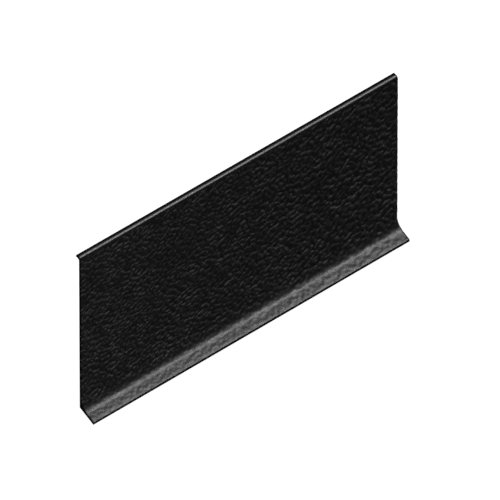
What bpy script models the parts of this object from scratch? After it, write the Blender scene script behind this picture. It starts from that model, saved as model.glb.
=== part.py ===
"""A self-adhesive kick plate, as it leaves the factory.

One extruded plate has a flared toe at the bottom, with a hollow cove above it, and a short lip at
the top that rolls back. Three strips of foam tape sit on its back, and a release liner covers
each strip until the plate is fitted.

Metres. +X runs along the plate, -Y is the face that is kicked and +Z is up. The origin is at the
middle of the length and of the depth, level with the bottom of the toe. Each shape is modelled
from the plate's flat back, which is the plane Y = 0 under the parent empty.
"""

import math

import bmesh
import bpy
from mathutils import Vector

MM = 0.001

# The plate.
LENGTH = 350 * MM
HEIGHT = 152.4 * MM
WALL = 1.5 * MM
FACE = -WALL

# The toe: a wedge-backed flare with a small upright land at its tip. Its top is a little crowned
# and runs into the cove, whose foot is the wider of its two arcs. A lean is the way the outline is
# heading as it climbs the face, from straight up towards +Y.
TOE_TIP = -15.2 * MM
TOE_LAND = 1.2 * MM
TOE_EDGE_RADIUS = 1.25 * MM
TOE_EDGE_LEAN = math.radians(55.5)
TOE_CROWN_RADIUS = 52 * MM
TOE_LEAN = math.radians(59)
COVE_FOOT_RADIUS = 17 * MM
COVE_BREAK = math.radians(38)
COVE_RADIUS = 11.5 * MM
HEEL_HEIGHT = 9.2 * MM

# The lip: the wall's own thickness, rolled back through two arcs and cut off upright.
LIP_REACH = 3.2 * MM
LIP_RADIUS = 3 * MM
LIP_BREAK = math.radians(50)
LIP_END = math.radians(83)

# The tapes. With its adhesive film, a tape is as thick as the lip is deep, so that the lip just
# closes the gap at the top once the plate is pressed on. The film is left as an open gap.
FILM = 0.3 * MM
TAPE_THICKNESS = LIP_REACH - FILM
TAPE_WIDTH = 25 * MM
TAPE_LENGTH = 318 * MM
TAPE_MARGIN = 7 * MM
TAPE_EDGE = 0.2 * MM

# The liners: a little wider than the tape, and longer at each end for a finger to lift.
LINER_THICKNESS = 0.3 * MM
LINER_OVERHANG = 1 * MM
LINER_TAB = 8 * MM
LINER_CORNER = 6 * MM

# How finely arcs are divided.
COVE_STEPS = 16
BEND_STEPS = 10
CROWN_STEPS = 3
EDGE_STEPS = 6

SMOOTH_ANGLE = math.radians(30)


def arc(centre, radius, start, end, steps):
    """Points on an arc, both ends included. Angles are in radians, from the first axis."""
    points = []
    for step in range(steps + 1):
        angle = start + (end - start) * step / steps
        points.append((centre[0] + radius * math.cos(angle), centre[1] + radius * math.sin(angle)))
    return points


def bend(start, radius, lean, new_lean, steps):
    """Points round an arc, both ends included, that turns from one lean to another."""
    radius = math.copysign(radius, new_lean - lean)
    points = []
    for step in range(steps + 1):
        angle = lean + (new_lean - lean) * step / steps
        y = start[0] + radius * (math.cos(lean) - math.cos(angle))
        z = start[1] + radius * (math.sin(angle) - math.sin(lean))
        points.append((y, z))
    return points


def lip_crown_radius():
    """The radius of the lip's upper arc, which takes up what is left of the lip's depth."""
    left = LIP_REACH - FACE - LIP_RADIUS * (1 - math.cos(LIP_BREAK))
    return left / (math.cos(LIP_BREAK) - math.cos(LIP_END))


def wall_top():
    """The height at which the upright wall ends and the lip starts."""
    crown_rise = lip_crown_radius() * (math.sin(LIP_END) - math.sin(LIP_BREAK))
    return HEIGHT - crown_rise - LIP_RADIUS * math.sin(LIP_BREAK)


def toe_and_cove():
    """The face from the tip's lower edge, over the toe and up the cove to the upright wall."""
    edge = bend((TOE_TIP, TOE_LAND), TOE_EDGE_RADIUS, 0, TOE_EDGE_LEAN, EDGE_STEPS)
    crown = bend(edge[-1], TOE_CROWN_RADIUS, TOE_EDGE_LEAN, TOE_LEAN, CROWN_STEPS)

    # A straight run takes up what is left of the toe's depth once the cove is drawn.
    foot_depth = COVE_FOOT_RADIUS * (math.cos(COVE_BREAK) - math.cos(TOE_LEAN))
    cove_depth = COVE_RADIUS * (1 - math.cos(COVE_BREAK))
    run = FACE - crown[-1][0] - foot_depth - cove_depth
    foot_start = (crown[-1][0] + run, crown[-1][1] + run / math.tan(TOE_LEAN))
    foot = bend(foot_start, COVE_FOOT_RADIUS, TOE_LEAN, COVE_BREAK, COVE_STEPS)
    cove = bend(foot[-1], COVE_RADIUS, COVE_BREAK, 0, COVE_STEPS)
    return [(TOE_TIP, 0), *edge, *crown[1:], *foot, *cove[1:]]


def lip(start, thickness):
    """The lip's two arcs from a point level with the wall's top, on the face less a thickness."""
    crown = lip_crown_radius() - thickness
    lower = bend(start, LIP_RADIUS - thickness, 0, LIP_BREAK, BEND_STEPS)
    depth = (LIP_REACH - lower[-1][0]) / crown
    end = math.acos(math.cos(LIP_BREAK) - depth)
    return [*lower, *bend(lower[-1], crown, LIP_BREAK, end, BEND_STEPS)[1:]]


def plate_section():
    """The plate's outline as (y, z) points, up the show face from the toe and down the back."""
    outer_lip = lip((FACE, wall_top()), 0)
    inner_lip = lip((0, wall_top()), WALL)
    return [*toe_and_cove(), *outer_lip, *reversed(inner_lip), (0, HEEL_HEIGHT)]


def tape_outline():
    """One tape's outline as (x, z) points about its middle."""
    x = TAPE_LENGTH / 2
    z = TAPE_WIDTH / 2
    return [(-x, -z), (x, -z), (x, z), (-x, z)]


def liner_outline():
    """One liner's outline as (x, z) points about its middle: a long strip with rounded corners."""
    x = TAPE_LENGTH / 2 + LINER_TAB - LINER_CORNER
    z = TAPE_WIDTH / 2 + LINER_OVERHANG - LINER_CORNER
    points = []
    for quarter, centre in enumerate(((x, z), (-x, z), (-x, -z), (x, -z))):
        start = quarter * math.pi / 2
        points += arc(centre, LINER_CORNER, start, start + math.pi / 2, BEND_STEPS)
    return points


def material(name, colour, roughness):
    """A Principled material that isn't metal."""
    made = bpy.data.materials.new(name)
    made.use_nodes = True
    shader = made.node_tree.nodes["Principled BSDF"]
    shader.inputs["Base Color"].default_value = (*colour, 1)
    shader.inputs["Roughness"].default_value = roughness
    shader.inputs["Metallic"].default_value = 0
    return made


def extruded(name, corners, along, finish):
    """An object made by drawing a face through the corners and extruding it by the vector."""
    shape = bmesh.new()
    face = shape.faces.new([shape.verts.new(corner) for corner in corners])
    grown = bmesh.ops.extrude_face_region(shape, geom=[face])
    moved = [item for item in grown["geom"] if isinstance(item, bmesh.types.BMVert)]
    bmesh.ops.translate(shape, verts=moved, vec=along)
    bmesh.ops.recalc_face_normals(shape, faces=shape.faces)
    mesh = bpy.data.meshes.new(name)
    shape.to_mesh(mesh)
    shape.free()
    mesh.materials.append(finish)
    mesh.shade_smooth()
    mesh.set_sharp_from_angle(angle=SMOOTH_ANGLE)
    made = bpy.data.objects.new(name, mesh)
    bpy.context.scene.collection.objects.link(made)
    return made


def make_plate(root):
    """The extruded plate, its section drawn at one end and pulled along the length."""
    finish = material("grained_vinyl", (0.012, 0.012, 0.012), 0.45)
    corners = [(-LENGTH / 2, y, z) for y, z in plate_section()]
    plate = extruded("kick_plate", corners, Vector((LENGTH, 0, 0)), finish)
    plate.parent = root


def make_tapes(root):
    """The foam strips, and over each its liner, spread evenly up the flat of the back."""
    foam = material("foam", (0.03, 0.03, 0.032), 0.9)
    film = material("liner_film", (0.72, 0.74, 0.72), 0.35)
    lowest = HEEL_HEIGHT + TAPE_MARGIN + TAPE_WIDTH / 2
    highest = wall_top() - TAPE_MARGIN - TAPE_WIDTH / 2
    heights = {
        "lower": lowest,
        "middle": (lowest + highest) / 2,
        "upper": highest,
    }
    liner_back = FILM + TAPE_THICKNESS + FILM
    for name, height in heights.items():
        corners = [(x, 0, z) for x, z in tape_outline()]
        tape = extruded(name + "_foam_tape", corners, Vector((0, TAPE_THICKNESS, 0)), foam)
        tape.location = (0, FILM, height)
        tape.parent = root
        edge = tape.modifiers.new("cut_edge", "BEVEL")
        edge.width = TAPE_EDGE
        edge.segments = 2

        corners = [(x, 0, z) for x, z in liner_outline()]
        liner = extruded(name + "_release_liner", corners, Vector((0, LINER_THICKNESS, 0)), film)
        liner.location = (0, liner_back, height)
        liner.parent = root


def main():
    for old in list(bpy.data.objects):
        bpy.data.objects.remove(old)
    rear = FILM + TAPE_THICKNESS + FILM + LINER_THICKNESS
    root = bpy.data.objects.new("kick_plate_root", None)
    root.location = (0, -(TOE_TIP + rear) / 2, 0)
    bpy.context.scene.collection.objects.link(root)
    make_plate(root)
    make_tapes(root)


main()
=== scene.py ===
"""The looks of a self-adhesive kick plate.

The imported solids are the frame. The plate, the foam tapes and the release liners each stand for
one of them, and thin sheets of adhesive fill the gaps that the solids leave in front of each tape
and behind it. Metres, +X along the plate, -Y towards the face that is kicked, +Z up.
"""

import math

import bpy
import numpy as np
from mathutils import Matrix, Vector


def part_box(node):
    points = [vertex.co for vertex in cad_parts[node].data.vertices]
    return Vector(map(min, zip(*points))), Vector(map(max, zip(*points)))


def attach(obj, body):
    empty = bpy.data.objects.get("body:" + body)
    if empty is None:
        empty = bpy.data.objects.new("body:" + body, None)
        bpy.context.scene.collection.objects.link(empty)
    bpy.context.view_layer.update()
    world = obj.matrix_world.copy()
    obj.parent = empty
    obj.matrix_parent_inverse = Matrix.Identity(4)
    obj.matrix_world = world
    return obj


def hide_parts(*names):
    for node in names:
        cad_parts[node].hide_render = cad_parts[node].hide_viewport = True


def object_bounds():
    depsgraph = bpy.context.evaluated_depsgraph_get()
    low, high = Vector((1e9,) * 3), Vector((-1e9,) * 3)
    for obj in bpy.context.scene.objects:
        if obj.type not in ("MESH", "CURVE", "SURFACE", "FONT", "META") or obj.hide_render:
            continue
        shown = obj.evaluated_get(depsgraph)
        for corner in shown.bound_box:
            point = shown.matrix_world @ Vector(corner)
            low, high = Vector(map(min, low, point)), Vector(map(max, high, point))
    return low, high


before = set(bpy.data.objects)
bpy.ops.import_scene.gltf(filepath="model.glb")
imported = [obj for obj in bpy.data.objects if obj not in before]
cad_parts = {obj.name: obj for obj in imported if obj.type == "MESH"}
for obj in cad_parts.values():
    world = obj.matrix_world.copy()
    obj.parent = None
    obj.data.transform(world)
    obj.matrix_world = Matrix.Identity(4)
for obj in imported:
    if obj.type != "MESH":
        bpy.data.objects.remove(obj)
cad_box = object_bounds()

MM = 0.001

# The plate's mesh.
OUTLINE_STEP = 0.05 * MM
CORNER_SOFTENING = 0.22 * MM
FACE_STEP = 0.8 * MM
BACK_STEP = 12 * MM
FINEST_STEP = 0.1 * MM
TURN_PER_STEP = math.radians(4)
LENGTH_STEP = 1.06 * MM
END_CHAMFER = 0.12 * MM

# The leather grain: the grid it is worked out on, its size, how much longer its waves are along X,
# how widely their lengths spread, and its height.
GRAIN_CELL = 0.25 * MM
GRAIN_SIZE = 4.8 * MM
GRAIN_STRETCH = 1.05
WAVE_SPREAD = 0.45
GRAIN_HEIGHT = 0.08 * MM
GRAIN_SEED = 7

# The length of the waves that make up each part of the grain, in grain sizes.
SMALL_PEBBLES = 1.05
LARGE_PEBBLES = 1.4
WRINKLES = 0.55
FOLDS = 2.2
PATCHES = 7

# How flat the pebbles' tops are, how deep the other parts are beside them, and how wide a crease is
# beside the folds it runs between.
PEBBLE_FLATNESS = 1.1
WRINKLE_DEPTH = 0.22
FOLD_DEPTH = 0.2
PATCH_DEPTH = 0.08
CREASE_DEPTH = 0.4
CREASE_WIDTH = 0.22

# How the grain grows along the plate: its height at the -X end and how much that gains by the +X
# end, and the share of its folds and creases that the -X end has.
FIRST_HEIGHT = 0.86
HEIGHT_GAIN = 0.3
FIRST_FOLDS = 0.3

# How much facing +X counts beside facing upwards, where the highlight is painted.
SIDE_FACING = 0.1

# Where the grain fades in, going along the section from the toe's corner and from the lip's rear.
GRAIN_FROM_TOE = (1.0 * MM, 2.5 * MM)
GRAIN_FROM_LIP = (4.2 * MM, 7 * MM)

# Leans of the face, in degrees from upright, between which it turns into cove and toe, and between
# which its dull finish turns satin. Then the shares of grain that cove loses and toe regains.
COVE_LEANS = (22, 46)
TOE_LEANS = (54, 57)
DULL_LEANS = (10, 38)
COVE_LOSS = 0.5
TOE_GAIN = 0.1

# How far the dull finish and painted shade reach from the plate's edges and cut ends, and the
# face's gloss.
TOE_DULL_SHADE = (0.8 * MM, 1.8 * MM)
LIP_DULL_SHADE = (1.0 * MM, 3.1 * MM)
END_DULL_SHADE = (0.3 * MM, 0.9 * MM)
LIP_SHEEN = (4.5 * MM, 7 * MM)
FACE_GLOSS = 0.39
LIP_EXTRA_GLOSS = 0.09
TRIM_GLOSS = 0.04

# The tapes, with the seed of each one's random draws.
TAPE_SEEDS = {"lower": 21, "middle": 22, "upper": 23}

# The foam: the steps of its mesh, and how its die-cut sides waver in long and short waves.
FOAM_SOFTENING = 0.12 * MM
FOAM_STEP = 0.9 * MM
FOAM_LENGTH_STEP = 1.8 * MM
FOAM_WAVER = 0.06 * MM
LONG_WAVER = 24 * MM
SHORT_WAVER = 7 * MM
SHORT_WAVER_SHARE = 0.6

# The adhesive: how clear it stays of its neighbours, how far it stops short of the foam's edge,
# and how ragged its own edge is.
FILM_CLEARANCE = 0.03 * MM
FILM_INSET = 0.3 * MM
FILM_RAGGED = 0.12 * MM
RAGGED_STEP = 3 * MM

# The liners: their rounded corners, how they cockle in two sets of waves, and how they curl up at
# the tabs. A set has the length of its waves along X and then along Z, both over 2 pi. The first
# set sways from side to side as it crosses the liner.
LINER_CORNER = 6 * MM
LINER_COCKLE = 0.09 * MM
SWAYING_WAVES = (11 * MM, 9 * MM)
SWAY = 2
CROSSING_WAVES = (27 * MM, 6 * MM)
LINER_CURL = 0.5 * MM
CURL_SHARES = (0.5, 1.3)
CURL_LENGTH = 9 * MM
SHEET_STEP = 2 * MM
CORNER_STEPS = 9
SHEET_RIM = (0.1 * MM, 1.4 * MM)

# The camera: where it lies from the plate, in degrees, what it spans at the plate, how far its
# middle lies to the right of the plate's and above it, how far away it is, and how far it sees.
PHOTO_AZIMUTH = -45.1
PHOTO_ELEVATION = 35.12
PHOTO_WIDTH = 389.6 * MM
PHOTO_SHIFT = (4.77 * MM, -1.56 * MM)
CAMERA_DISTANCE = 17.9
CAMERA_REACH = 100

# The studio.
FLOOR_REACH = 12
FLOOR_COLOUR = (0.3, 0.3, 0.3, 1)
FLOOR_GLOW = 0.9
WORLD_LIGHT = 0.015
WHITE = (1, 1, 1, 1)

# The colours of the materials.
VINYL = (0.0075, 0.0075, 0.0075, 1)
# Pale grey of rubbed wear and of the painted highlight on the grain.
RUBBED_AND_HIGHLIT_VINYL = (0.17, 0.17, 0.167, 1)
STREAKED_VINYL = (0.03, 0.03, 0.03, 1)
# Darker colour of the painted shade along the plate's edges.
SHADED_EDGE_VINYL = (0.006, 0.006, 0.006, 1)
# The foam pores' darker colour is painted shade in the cells' hollows.
SHADED_FOAM_PORE = (0.012, 0.012, 0.013, 1)
FOAM_WALL = (0.075, 0.075, 0.08, 1)
ADHESIVE = (0.2, 0.185, 0.15, 1)
PALE_ADHESIVE = (0.34, 0.32, 0.27, 1)
ADHESIVE_BUBBLE = (0.45, 0.44, 0.4, 1)
PAPER = (0.63, 0.645, 0.62, 1)
PALE_PAPER = (0.76, 0.775, 0.755, 1)
PAPER_FIBRE = (0.82, 0.83, 0.81, 1)
PAPER_SPECK = (0.42, 0.41, 0.36, 1)
SOILED_PAPER = (0.43, 0.42, 0.38, 1)

# The range in which most of a noise texture's values lie.
USUAL_NOISE = (0.3, 0.7)


def direction(azimuth, elevation):
    """The unit vector towards an azimuth and elevation in degrees; azimuth 0 is -Y, 90 is +X."""
    turn = math.radians(azimuth)
    rise = math.radians(elevation)
    flat = math.cos(rise)
    return Vector((math.sin(turn) * flat, -math.cos(turn) * flat, math.sin(rise)))


def smoothstep(value, low, high):
    """0 below low and 1 above high, with a smooth rise between."""
    share = np.clip((value - low) / (high - low), 0, 1)
    return share * share * (3 - 2 * share)


# ---------------------------------------------------------------- sections


def end_outline(node):
    """The outline of a CAD node's end face at its lowest X, as complex numbers y + iz in order."""
    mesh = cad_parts[node].data
    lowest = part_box(node)[0].x
    uses = {}
    for face in mesh.polygons:
        corners = [mesh.vertices[index].co for index in face.vertices]
        if max(corner.x for corner in corners) > lowest + 0.01 * MM:
            continue
        keys = [(round(corner.y, 6), round(corner.z, 6)) for corner in corners]
        for start, end in zip(keys, keys[1:] + keys[:1]):
            uses.setdefault(frozenset((start, end)), []).append((start, end))
    following = dict(edge[0] for edge in uses.values() if len(edge) == 1)
    point = min(following, key=lambda corner: corner[1])
    outline = []
    while point in following:
        outline.append(complex(*point))
        point = following.pop(point)
    return np.array(outline)


def evenly(outline, step):
    """A closed outline's points at even steps."""
    closed = np.append(outline, outline[0])
    along = np.append(0, np.cumsum(np.abs(np.diff(closed))))
    count = int(round(along[-1] / step))
    places = np.linspace(0, along[-1], count, endpoint=False)
    return np.interp(places, along, closed.real) + 1j * np.interp(places, along, closed.imag)


def softened(outline, step, width):
    """An evenly stepped closed outline, blurred along its length, which rounds its corners."""
    frequency = np.fft.fftfreq(len(outline), step)
    return np.fft.ifft(np.fft.fft(outline) * np.exp(-2 * (np.pi * width * frequency) ** 2))


class Section:
    """A closed outline with softened corners, from its lowest point up the -Y side and back down.

    Points are complex numbers y + iz. Steps shrink where the outline turns.
    """

    def __init__(self, outline, softening, up_step, down_step):
        fine = softened(evenly(outline, OUTLINE_STEP), OUTLINE_STEP, softening)
        fine = np.roll(fine, -int(np.argmin(fine.imag)))
        top = int(np.argmax(fine.imag))
        if fine[:top].real.mean() > fine[top:].real.mean():
            fine = np.roll(fine[::-1], 1)
            top = int(np.argmax(fine.imag))
        step = np.abs(np.diff(np.append(fine, fine[0])))
        along = np.append(0, np.cumsum(step))
        tangent = np.roll(fine, -1) - np.roll(fine, 1)
        tangent /= np.abs(tangent)
        turn = np.abs(np.angle(np.roll(tangent, -1) / tangent)) / step
        coarse = np.where(np.arange(len(fine)) <= top, 1 / up_step, 1 / down_step)
        density = np.maximum(coarse, np.minimum(turn / TURN_PER_STEP, 1 / FINEST_STEP))
        rank = np.append(0, np.cumsum(density * step))
        count = int(math.ceil(rank[-1]))
        places = np.interp(np.arange(count) * rank[-1] / count, rank, along)

        def at(values):
            closed = np.append(values, values[0])
            imaginary = np.interp(places, along, closed.imag)
            return np.interp(places, along, closed.real) + 1j * imaginary

        self.points = at(fine)
        tangent = at(tangent)
        self.normals = 1j * tangent / np.abs(tangent)
        self.along = places
        self.top = along[top]
        self.split = int(np.argmin(np.abs(places - self.top)))


# ---------------------------------------------------------------- relief


def band_noise(rng, shape, cell, size):
    """A repeating random field with waves mostly as long as size, and longer down its columns."""
    rows = np.fft.fftfreq(shape[0], cell)[:, None] * GRAIN_STRETCH
    columns = np.fft.rfftfreq(shape[1], cell)[None, :]
    frequency = np.hypot(rows, columns)
    frequency[0, 0] = 1e-9
    band = np.exp(-0.5 * (np.log(frequency * size) / WAVE_SPREAD) ** 2) / np.sqrt(frequency)
    waves = np.fft.rfft2(rng.standard_normal(shape)) * band
    field = np.fft.irfft2(waves, s=shape)
    return field / field.std()


def bilinear(field, row, column):
    """The repeating field's values between its cells."""
    low_row = np.floor(row).astype(int)
    low_column = np.floor(column).astype(int)
    part_row = row - low_row
    part_column = column - low_column
    rows, columns = field.shape
    total = 0
    for step_row, weight_row in ((0, 1 - part_row), (1, part_row)):
        for step_column, weight_column in ((0, 1 - part_column), (1, part_column)):
            value = field[(low_row + step_row) % rows, (low_column + step_column) % columns]
            total = total + value * weight_row * weight_column
    return total


def leather(length, width):
    """The grain's height and how far it faces upwards, on a grid of GRAIN_CELL squares.

    It is wrinkled pebbles between creases, coarser and deeper towards +X.
    """
    rng = np.random.default_rng(GRAIN_SEED)
    shape = (int(length / GRAIN_CELL) + 2, int(width / GRAIN_CELL) + 2)
    share = np.linspace(0, 1, shape[0])[:, None]
    small, large, wrinkles, folds, patches = (
        band_noise(rng, shape, GRAIN_CELL, GRAIN_SIZE * part)
        for part in (SMALL_PEBBLES, LARGE_PEBBLES, WRINKLES, FOLDS, PATCHES)
    )
    pebbles = ((1 - share) * small + share * large) / np.hypot(1 - share, share)
    creases = np.exp(-0.5 * (folds / CREASE_WIDTH) ** 2)
    height = np.tanh(PEBBLE_FLATNESS * pebbles) + WRINKLE_DEPTH * wrinkles
    folded = FIRST_FOLDS + (1 - FIRST_FOLDS) * share
    height += folded * (FOLD_DEPTH * folds - CREASE_DEPTH * creases)
    height *= 1 + PATCH_DEPTH * np.clip(patches, -2, 2)
    height *= GRAIN_HEIGHT / height.std() * (FIRST_HEIGHT + HEIGHT_GAIN * share)
    across, along = np.gradient(height, GRAIN_CELL)
    return height - height.mean(), -SIDE_FACING * across - along


# ---------------------------------------------------------------- meshes


def finished(name, mesh, node=None):
    """Adds a piece that rides on the plate's body and stands for a CAD node, if one is named."""
    piece = bpy.data.objects.new(name, mesh)
    bpy.context.scene.collection.objects.link(piece)
    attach(piece, "root")
    if node:
        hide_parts(node)


def add_values(mesh, **values):
    """Stores one number for each vertex, under a name that the materials read."""
    for name, numbers in values.items():
        attribute = mesh.attributes.new(name, "FLOAT", "POINT")
        attribute.data.foreach_set("value", np.asarray(numbers, np.float32).ravel())


def cap(ring, split, points):
    """Triangles that close the end of a thin section, zipped up from its first point to the split.

    The ring's vertices run up one side to the split and down the other, and lie at the points.
    """
    left = list(range(split + 1))
    right = [0] + list(range(len(ring) - 1, split - 1, -1))
    triangles = []
    while len(left) > 1 or len(right) > 1:
        take_left = len(right) == 1
        if len(left) > 1 and len(right) > 1:
            from_left = abs(points[left[1]] - points[right[0]])
            from_right = abs(points[right[1]] - points[left[0]])
            take_left = from_left < from_right
        if take_left:
            corners = (left[0], left[1], right[0])
            left.pop(0)
        else:
            corners = (left[0], right[1], right[0])
            right.pop(0)
        if len(set(corners)) == 3:
            triangles.append([ring[corner] for corner in corners])
    return triangles


def swept(name, stations, points, split, material):
    """A closed mesh through outlines at stations along X; each runs up to the split and back."""
    across = np.broadcast_to(stations[:, None], points.shape)
    vertices = np.stack((across, points.real, points.imag), axis=-1).reshape(-1, 3)
    index = np.arange(points.size).reshape(points.shape)
    following = np.roll(index, -1, axis=1)
    quads = np.stack((index[:-1], index[1:], following[1:], following[:-1]), axis=-1)
    quads = quads.reshape(-1, 4)
    near = cap(index[0].tolist(), split, points[0])
    far = [corners[::-1] for corners in cap(index[-1].tolist(), split, points[-1])]
    faces = quads.tolist() + near + far
    mesh = bpy.data.meshes.new(name)
    mesh.from_pydata(vertices.tolist(), [], faces)
    smooth = np.ones(len(faces), bool)
    smooth[len(quads):] = False
    mesh.polygons.foreach_set("use_smooth", smooth)
    mesh.update()
    mesh.materials.append(material)
    return mesh


def end_to_end(low, high, step):
    """Even stations from one end to the other, and one more at each end for a chamfer."""
    count = int(round((high - low) / step))
    inner = np.linspace(low + END_CHAMFER, high - END_CHAMFER, count)
    return np.concatenate(([low], inner, [high]))


def make_plate(material):
    """The extruded plate: its section swept along X, with the grain raised on its face."""
    section = Section(end_outline("kick_plate"), CORNER_SOFTENING, FACE_STEP, BACK_STEP)
    low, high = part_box("kick_plate")
    stations = end_to_end(low.x, high.x, LENGTH_STEP)
    inset = np.zeros(len(stations))
    inset[[0, -1]] = END_CHAMFER

    height, facing = leather(high.x - low.x, section.top)
    row = (stations[:, None] - low.x) / GRAIN_CELL
    column = section.along[None, :] / GRAIN_CELL
    relief = bilinear(height, row, column)
    facing = bilinear(facing, row, column)

    # How strongly the grain is pressed: full on the upright wall, fainter on the toe, and faintest
    # in the cove between them.
    rise = np.degrees(np.arcsin(np.clip(section.normals.imag, -1, 1)))
    on_face = section.along < section.top
    from_top = section.top - section.along
    edges = smoothstep(section.along, *GRAIN_FROM_TOE) * smoothstep(from_top, *GRAIN_FROM_LIP)
    in_cove = smoothstep(rise, *COVE_LEANS)
    on_toe = smoothstep(rise, *TOE_LEANS)
    pressed = on_face * edges * (1 - COVE_LOSS * in_cove + TOE_GAIN * on_toe)
    flat = on_face * edges * (1 - smoothstep(rise, *DULL_LEANS))

    # How near a point is to an edge with a dull finish and painted shade: the toe's lower corner,
    # the lip's rear and both ends.
    toe_rim = 1 - smoothstep(section.along, *TOE_DULL_SHADE)
    lip_rim = 1 - smoothstep(from_top, *LIP_DULL_SHADE)
    end = 1 - smoothstep(np.minimum(stations - low.x, high.x - stations), *END_DULL_SHADE)
    trim = np.maximum((np.maximum(toe_rim, lip_rim) * on_face)[None, :], end[:, None])
    on_lip = on_face * (1 - smoothstep(from_top, *LIP_SHEEN))
    gloss = (1 - trim) * (FACE_GLOSS + LIP_EXTRA_GLOSS * on_lip[None, :]) + trim * TRIM_GLOSS

    inward = inset[:, None] - relief * pressed[None, :]
    points = section.points[None, :] - inward * section.normals[None, :]
    mesh = swept("kick_plate_grained", stations, points, section.split, material)
    whole = np.ones(relief.shape)
    add_values(
        mesh,
        # relief and facing set the vinyl's paler raised tops and its painted highlight.
        relief=relief * pressed / GRAIN_HEIGHT,
        facing=facing * pressed,
        trim=trim,
        gloss=gloss,
        grain=whole * flat,
        back=whole * (1 - on_face),
    )
    finished("kick_plate_grained", mesh, "kick_plate")


def make_foam(tape, material):
    """One foam strip, with the slightly wavering sides that a die leaves when it cuts foam."""
    node = tape + "_foam_tape"
    low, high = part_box(node)
    corners = ((low.y, low.z), (low.y, high.z), (high.y, high.z), (high.y, low.z))
    outline = np.array([complex(y, z) for y, z in corners])
    section = Section(outline, FOAM_SOFTENING, FOAM_STEP, FOAM_STEP)
    stations = end_to_end(low.x, high.x, FOAM_LENGTH_STEP)
    rng = np.random.default_rng(TAPE_SEEDS[tape])
    shape = (len(stations), len(section.points))
    waver = band_noise(rng, shape, FOAM_LENGTH_STEP, LONG_WAVER)
    waver = waver + SHORT_WAVER_SHARE * band_noise(rng, shape, FOAM_LENGTH_STEP, SHORT_WAVER)
    side = np.abs(section.normals.imag)[None, :]
    inward = FOAM_WAVER * np.clip(waver + 1, 0, 3) * side
    inward[[0, -1]] += END_CHAMFER
    points = section.points[None, :] - inward * section.normals[None, :]
    mesh = swept(node + "_cut", stations, points, section.split, material)
    finished(node + "_cut", mesh, node)


def sheet(name, low, high, corner, lift, ragged, material):
    """A thin closed sheet between two corners of a box, with its own corners rounded.

    Lift gives how far behind its place a point stands, from where it is about the sheet's middle,
    and ragged gives how far the long edges are drawn in.
    """
    middle = (low + high) / 2
    half_length = (high.x - low.x) / 2
    half_width = (high.z - low.z) / 2
    thickness = high.y - low.y
    turn = np.linspace(0, math.pi / 2, CORNER_STEPS)
    tip = half_length - corner + corner * np.sin(turn)
    reach = half_length - corner
    straight = np.linspace(-reach, reach, int(2 * half_length / SHEET_STEP))[1:-1]
    stations = np.concatenate((-tip[::-1], straight, tip))
    narrow = corner * (1 - np.cos(turn))
    narrow = np.concatenate((narrow[::-1], np.zeros(len(straight)), narrow))
    widths = (half_width - narrow - ragged(stations))[:, None]

    count = int(2 * half_width / SHEET_STEP)
    share = np.linspace(-1, 1, count)
    across = np.concatenate(([-1], share, [1], share[::-1]))[None, :]
    edge = np.zeros(across.shape)
    edge[:, [0, count + 1]] = 1
    depth = np.concatenate(([0.5], np.zeros(count), [0.5], np.ones(count)))[None, :] * thickness
    z = across * (widths - (1 - edge) * thickness / 2)
    x = np.broadcast_to(stations[:, None], z.shape)
    points = low.y + depth + lift(x, z) + 1j * (middle.z + z)
    mesh = swept(name, stations + middle.x, points, count + 1, material)
    inside = np.minimum(widths - np.abs(z), half_length - np.abs(x))
    add_values(mesh, rim=1 - smoothstep(inside, *SHEET_RIM))
    return mesh


def wander(rng, places, size, reach):
    """A random number from 0 to reach for each place, which changes over about size."""
    knots = np.arange(places.min(), places.max() + 2 * size, size)
    return np.interp(places, knots, rng.uniform(0, reach, len(knots)))


def make_adhesive(tape, material):
    """The two sheets of adhesive on one tape, in the gaps in front of its foam and behind it."""
    low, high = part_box(tape + "_foam_tape")
    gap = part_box(tape + "_release_liner")[0].y - high.y
    rng = np.random.default_rng(TAPE_SEEDS[tape])
    inset = Vector((FILM_INSET, 0, FILM_INSET))
    clear = Vector((0, FILM_CLEARANCE, 0))
    for side, near, far in (("front", low.y - gap, low.y), ("rear", high.y, high.y + gap)):
        name = f"{tape}_tape_{side}_adhesive"
        mesh = sheet(
            name,
            Vector((low.x, near, low.z)) + inset + clear,
            Vector((high.x, far, high.z)) - inset - clear,
            FILM_INSET,
            lambda x, z: 0,
            lambda x: wander(rng, x, RAGGED_STEP, FILM_RAGGED),
            material,
        )
        finished(name, mesh)


def make_liner(tape, material):
    """One release liner, cockled a little, with its finger tabs curling away from the plate."""
    node = tape + "_release_liner"
    low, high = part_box(node)
    rng = np.random.default_rng(TAPE_SEEDS[tape])
    phases = rng.uniform(0, 2 * math.pi, 4)
    curls = rng.uniform(*CURL_SHARES, 2) * LINER_CURL
    flat_length = (high.x - low.x) / 2 - CURL_LENGTH

    def lift(x, z):
        """How far the liner stands off its place: its waves, from -2 to 2, and its curled tabs."""
        sway = SWAY * np.sin(z / SWAYING_WAVES[1] + phases[1])
        along = np.sin(x / CROSSING_WAVES[0] + phases[2])
        across = np.cos(z / CROSSING_WAVES[1] + phases[3])
        waves = np.sin(x / SWAYING_WAVES[0] + phases[0] + sway) + along * across
        reach = np.clip((np.abs(x) - flat_length) / CURL_LENGTH, 0, 1)
        return LINER_COCKLE * (waves + 2) / 4 + np.where(x < 0, *curls) * reach**2

    mesh = sheet(node + "_cockled", low, high, LINER_CORNER, lift, np.zeros_like, material)
    finished(node + "_cockled", mesh, node)


# ---------------------------------------------------------------- materials


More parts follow.
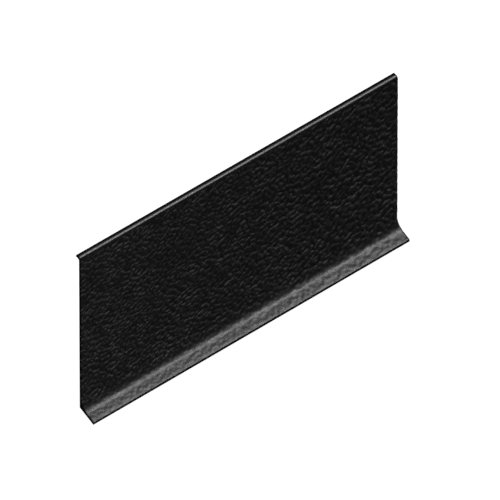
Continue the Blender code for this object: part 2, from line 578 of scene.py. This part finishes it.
class Nodes:
    """A material's node tree, with short ways to add and join nodes."""

    def __init__(self, name):
        self.material = bpy.data.materials.new(name)
        self.material.use_nodes = True
        self.tree = self.material.node_tree
        self.shader = self.tree.nodes["Principled BSDF"]

    def add(self, kind, settings=None, **inputs):
        node = self.tree.nodes.new(kind)
        for name, value in (settings or {}).items():
            setattr(node, name, value)
        for name, value in inputs.items():
            self.put(node.inputs[name.replace("_", " ")], value)
        return node

    def put(self, socket, value):
        """Links a socket to another node's output, or sets it to a plain value."""
        if isinstance(value, bpy.types.NodeSocket):
            self.tree.links.new(value, socket)
        else:
            socket.default_value = value

    def maths(self, operation, *values):
        node = self.tree.nodes.new("ShaderNodeMath")
        node.operation = operation
        for socket, value in zip(node.inputs, values):
            self.put(socket, value)
        return node.outputs[0]

    def place(self, scale):
        """The point in the plate's own space, stretched by scale."""
        coordinates = self.add("ShaderNodeTexCoord")
        mapping = self.add("ShaderNodeMapping")
        self.put(mapping.inputs["Vector"], coordinates.outputs["Object"])
        mapping.inputs["Scale"].default_value = scale
        return mapping.outputs["Vector"]

    def noise(self, size, detail=3, stretch=(1, 1, 1)):
        """Cloudy noise from 0 to 1, with lumps of the given size in metres."""
        place = self.place(tuple(part / size for part in stretch))
        node = self.add("ShaderNodeTexNoise", Scale=1.0, Detail=float(detail), Vector=place)
        return node.outputs["Fac"]

    def cells(self, size, feature="F1"):
        """Distance to the nearest of many points, size metres apart, or to their borders."""
        place = self.place((1 / size,) * 3)
        node = self.add("ShaderNodeTexVoronoi", {"feature": feature}, Scale=1.0, Vector=place)
        return node.outputs["Distance"]

    def rise(self):
        """How high a point lies."""
        coordinates = self.add("ShaderNodeTexCoord")
        return self.add("ShaderNodeSeparateXYZ", Vector=coordinates.outputs["Object"]).outputs["Z"]

    def value(self, name):
        """A number stored with the mesh."""
        return self.add("ShaderNodeAttribute", {"attribute_name": name}).outputs["Fac"]

    def span(self, value, low, high, new_low, new_high):
        """The value carried from one range to another, and kept inside it."""
        node = self.tree.nodes.new("ShaderNodeMapRange")
        for socket, number in zip(node.inputs, (value, low, high, new_low, new_high)):
            self.put(socket, number)
        return node.outputs[0]

    def blend(self, share, first, second):
        """The first colour where the share is 0 and the second where it is 1."""
        node = self.tree.nodes.new("ShaderNodeMix")
        node.data_type = "RGBA"
        self.put(node.inputs[0], share)
        self.put(node.inputs[6], first)
        self.put(node.inputs[7], second)
        return node.outputs[2]

    def bump(self, height, distance, under=None):
        """A normal that follows a height, laid over another normal if one is given."""
        node = self.add("ShaderNodeBump", Height=height, Distance=distance, Strength=1.0)
        if under is not None:
            self.put(node.inputs["Normal"], under)
        return node.outputs["Normal"]


def vinyl():
    """Black through-coloured vinyl with an embossed face: painted highlight where its grain faces
    upwards, and paler raised tops that are partly rubbed wear and partly painted highlight.
    """
    made = Nodes("embossed_black_vinyl")
    grain = made.value("grain")
    trim = made.value("trim")
    back = made.value("back")
    # Painted highlight: paler where the grain faces upwards, and on its raised tops, which also
    # stand for rubbed wear.
    raised_rub_and_highlight = made.span(made.value("relief"), -1.5, 2.5, 0.0, 0.12)
    painted_highlight = made.maths("POWER", made.span(made.value("facing"), 0.0, 0.3, 0.0, 1.13), 1.2)
    shade = made.maths("ADD", raised_rub_and_highlight, painted_highlight)
    patches = made.span(made.noise(11 * MM, 5), *USUAL_NOISE, 0.5, 1.5)
    shade = made.maths("MULTIPLY", shade, patches)
    # Painted shade: the painted highlight and rub drop to 30% off the upright grained wall, so the
    # cove, toe and lip are painted darker.
    shade = made.maths("MULTIPLY", shade, made.span(grain, 0, 1, 0.3, 1))
    # Painted light: paler low on the plate and darker towards its top.
    shade = made.maths("MULTIPLY", shade, made.span(made.rise(), 15 * MM, 140 * MM, 1.12, 0.93))
    colour = made.blend(shade, VINYL, RUBBED_AND_HIGHLIT_VINYL)
    streaks = made.noise(0.7 * MM, 4, (0.004, 1, 1))
    streaked = made.maths("MULTIPLY", back, made.span(streaks, 0.35, 0.7, 0, 1))
    colour = made.blend(streaked, colour, STREAKED_VINYL)
    # Painted shade: darker along the toe's lower corner, the lip's rear and both ends.
    colour = made.blend(trim, colour, SHADED_EDGE_VINYL)
    made.put(made.shader.inputs["Base Color"], colour)
    satin = made.span(grain, 0, 1, 0.36, 0.56)
    made.put(made.shader.inputs["Specular IOR Level"], made.value("gloss"))
    uneven = made.span(made.noise(3 * MM, 5), *USUAL_NOISE, -0.03, 0.03)
    made.put(made.shader.inputs["Roughness"], made.maths("ADD", satin, uneven))
    pores = made.cells(0.55 * MM)
    grit = made.noise(0.25 * MM, 2)
    normal = made.bump(pores, made.span(grain, 0, 1, 0.003 * MM, 0.02 * MM))
    normal = made.bump(grit, made.span(grain, 0, 1, 0.001 * MM, 0.005 * MM), normal)
    normal = made.bump(streaks, made.span(back, 0, 1, 0, 0.02 * MM), normal)
    saw_marks = made.noise(0.4 * MM, 3, (1, 1, 0.06))
    normal = made.bump(saw_marks, made.span(trim, 0, 1, 0, 0.03 * MM), normal)
    made.put(made.shader.inputs["Normal"], normal)
    return made.material


def foam():
    """Charcoal closed-cell foam: thin walls round small pores darkened with painted shade, with
    lumps between.
    """
    made = Nodes("closed_cell_foam")
    walls = made.span(made.cells(0.5 * MM, "DISTANCE_TO_EDGE"), 0.0, 0.28, 1.0, 0.0)
    clouds = made.noise(7 * MM, 4)
    lumps = made.noise(1.6 * MM, 3)
    shade = made.maths("MULTIPLY", walls, made.span(clouds, *USUAL_NOISE, 0.6, 1.0))
    # Painted shade: the pores are darker than the walls round them.
    colour = made.blend(shade, SHADED_FOAM_PORE, FOAM_WALL)
    made.put(made.shader.inputs["Base Color"], colour)
    made.put(made.shader.inputs["Roughness"], made.span(walls, 0, 1, 0.95, 0.75))
    made.put(made.shader.inputs["Specular IOR Level"], 0.25)
    normal = made.bump(walls, 0.08 * MM)
    made.put(made.shader.inputs["Normal"], made.bump(lumps, 0.1 * MM, normal))
    return made.material


def adhesive():
    """Tacky acrylic adhesive: amber grey and glossy, with small bubbles and pale patches."""
    made = Nodes("acrylic_adhesive")
    bubbles = made.span(made.cells(1.3 * MM), 0.0, 0.35, 1.0, 0.0)
    clouds = made.noise(6 * MM, 5)
    patches = made.span(clouds, *USUAL_NOISE, 0, 1)
    colour = made.blend(patches, ADHESIVE, PALE_ADHESIVE)
    colour = made.blend(made.maths("MULTIPLY", bubbles, 0.5), colour, ADHESIVE_BUBBLE)
    made.put(made.shader.inputs["Base Color"], colour)
    made.put(made.shader.inputs["Roughness"], made.span(clouds, *USUAL_NOISE, 0.18, 0.38))
    normal = made.bump(bubbles, 0.03 * MM)
    made.put(made.shader.inputs["Normal"], made.bump(made.noise(2.5 * MM, 3), 0.05 * MM, normal))
    return made.material


def liner_paper():
    """Silicone-coated paper: pale, with fibres along it, soft waves and slightly soiled edges."""
    made = Nodes("silicone_coated_paper")
    fibres = made.noise(0.35 * MM, 4, (0.12, 1, 1))
    clouds = made.noise(9 * MM, 5)
    specks = made.span(made.noise(0.8 * MM, 2), 0.68, 0.74, 0, 1)
    rim = made.value("rim")
    patches = made.span(clouds, *USUAL_NOISE, 0, 1)
    colour = made.blend(patches, PAPER, PALE_PAPER)
    colour = made.blend(made.span(fibres, *USUAL_NOISE, 0, 0.35), colour, PAPER_FIBRE)
    colour = made.blend(made.maths("MULTIPLY", specks, 0.3), colour, PAPER_SPECK)
    worn = made.maths("MULTIPLY", rim, made.span(made.noise(4 * MM, 4), 0.35, 0.65, 0.15, 0.6))
    colour = made.blend(worn, colour, SOILED_PAPER)
    made.put(made.shader.inputs["Base Color"], colour)
    coat = made.span(made.noise(14 * MM, 3), *USUAL_NOISE, 0.32, 0.46)
    worn_off = made.maths("MULTIPLY", rim, 0.2)
    made.put(made.shader.inputs["Roughness"], made.maths("ADD", coat, worn_off))
    waves = made.noise(11 * MM, 3, (1, 1, 0.5))
    normal = made.bump(waves, 0.35 * MM, made.bump(fibres, 0.012 * MM))
    made.put(made.shader.inputs["Normal"], normal)
    return made.material


# ---------------------------------------------------------------- studio


def make_floor():
    """A pale floor that glows faintly, like a lit table, so that shadows stay soft on it."""
    mesh = bpy.data.meshes.new("floor")
    signs = ((-1, -1), (1, -1), (1, 1), (-1, 1))
    corners = [(x * FLOOR_REACH, y * FLOOR_REACH, 0) for x, y in signs]
    mesh.from_pydata(corners, [], [(0, 1, 2, 3)])
    floor = bpy.data.objects.new("floor", mesh)
    bpy.context.scene.collection.objects.link(floor)
    made = Nodes("pale_floor")
    made.shader.inputs["Base Color"].default_value = FLOOR_COLOUR
    made.shader.inputs["Roughness"].default_value = 1
    made.shader.inputs["Specular IOR Level"].default_value = 0
    made.shader.inputs["Emission Color"].default_value = WHITE
    made.shader.inputs["Emission Strength"].default_value = FLOOR_GLOW
    mesh.materials.append(made.material)
    floor.visible_glossy = False
    floor.visible_diffuse = False


def make_world():
    """White where the camera sees it, and nearly dark as a light."""
    world = bpy.data.worlds.new("studio")
    bpy.context.scene.world = world
    world.use_nodes = True
    tree = world.node_tree
    background = tree.nodes["Background"]
    path = tree.nodes.new("ShaderNodeLightPath")
    level = tree.nodes.new("ShaderNodeMapRange")
    level.inputs["To Min"].default_value = WORLD_LIGHT
    level.inputs["To Max"].default_value = 1
    tree.links.new(path.outputs["Is Camera Ray"], level.inputs["Value"])
    tree.links.new(level.outputs[0], background.inputs["Strength"])
    background.inputs["Color"].default_value = WHITE


def make_lamp(name, azimuth, elevation, strength, softness):
    """A far lamp that looks as wide as softness, in degrees."""
    lamp = bpy.data.lights.new(name, "SUN")
    lamp.energy = strength
    lamp.angle = math.radians(softness)
    made = bpy.data.objects.new(name, lamp)
    bpy.context.scene.collection.objects.link(made)
    towards = direction(azimuth, elevation)
    made.location = towards
    made.rotation_mode = "QUATERNION"
    made.rotation_quaternion = towards.to_track_quat("Z", "Y")


def make_bulb(name, place, power, radius):
    """A near lamp, which lights the closer end of the plate more."""
    bulb = bpy.data.lights.new(name, "POINT")
    bulb.energy = power
    bulb.shadow_soft_size = radius
    made = bpy.data.objects.new(name, bulb)
    bpy.context.scene.collection.objects.link(made)
    made.location = place


def make_camera():
    """A far camera with a very long lens, close to an isometric view."""
    back = direction(PHOTO_AZIMUTH, PHOTO_ELEVATION)
    right = Vector((0, 0, 1)).cross(back).normalized()
    up = back.cross(right)
    middle = (cad_box[0] + cad_box[1]) / 2
    data = bpy.data.cameras.new("camera")
    data.lens = data.sensor_width * CAMERA_DISTANCE / PHOTO_WIDTH
    data.clip_end = CAMERA_REACH
    camera = bpy.data.objects.new("camera", data)
    bpy.context.scene.collection.objects.link(camera)
    middle += right * PHOTO_SHIFT[0] + up * PHOTO_SHIFT[1]
    camera.location = middle + back * CAMERA_DISTANCE
    camera.rotation_mode = "QUATERNION"
    camera.rotation_quaternion = back.to_track_quat("Z", "Y")
    bpy.context.scene.camera = camera


make_plate(vinyl())
foam_finish = foam()
film_finish = adhesive()
liner_finish = liner_paper()
for tape in TAPE_SEEDS:
    make_foam(tape, foam_finish)
    make_adhesive(tape, film_finish)
    make_liner(tape, liner_finish)

make_floor()
make_world()
make_lamp("key", azimuth=55.5, elevation=45.7, strength=1.0, softness=7)
make_bulb("left_fill", place=(-0.6, -0.35, 0.3), power=2.85, radius=0.15)
make_lamp("second_key", azimuth=-55.5, elevation=45.7, strength=0.5, softness=12)
make_lamp("rear_fill", azimuth=165, elevation=28, strength=2.0, softness=20)
make_camera()
bpy.context.scene.view_settings.view_transform = "Standard"
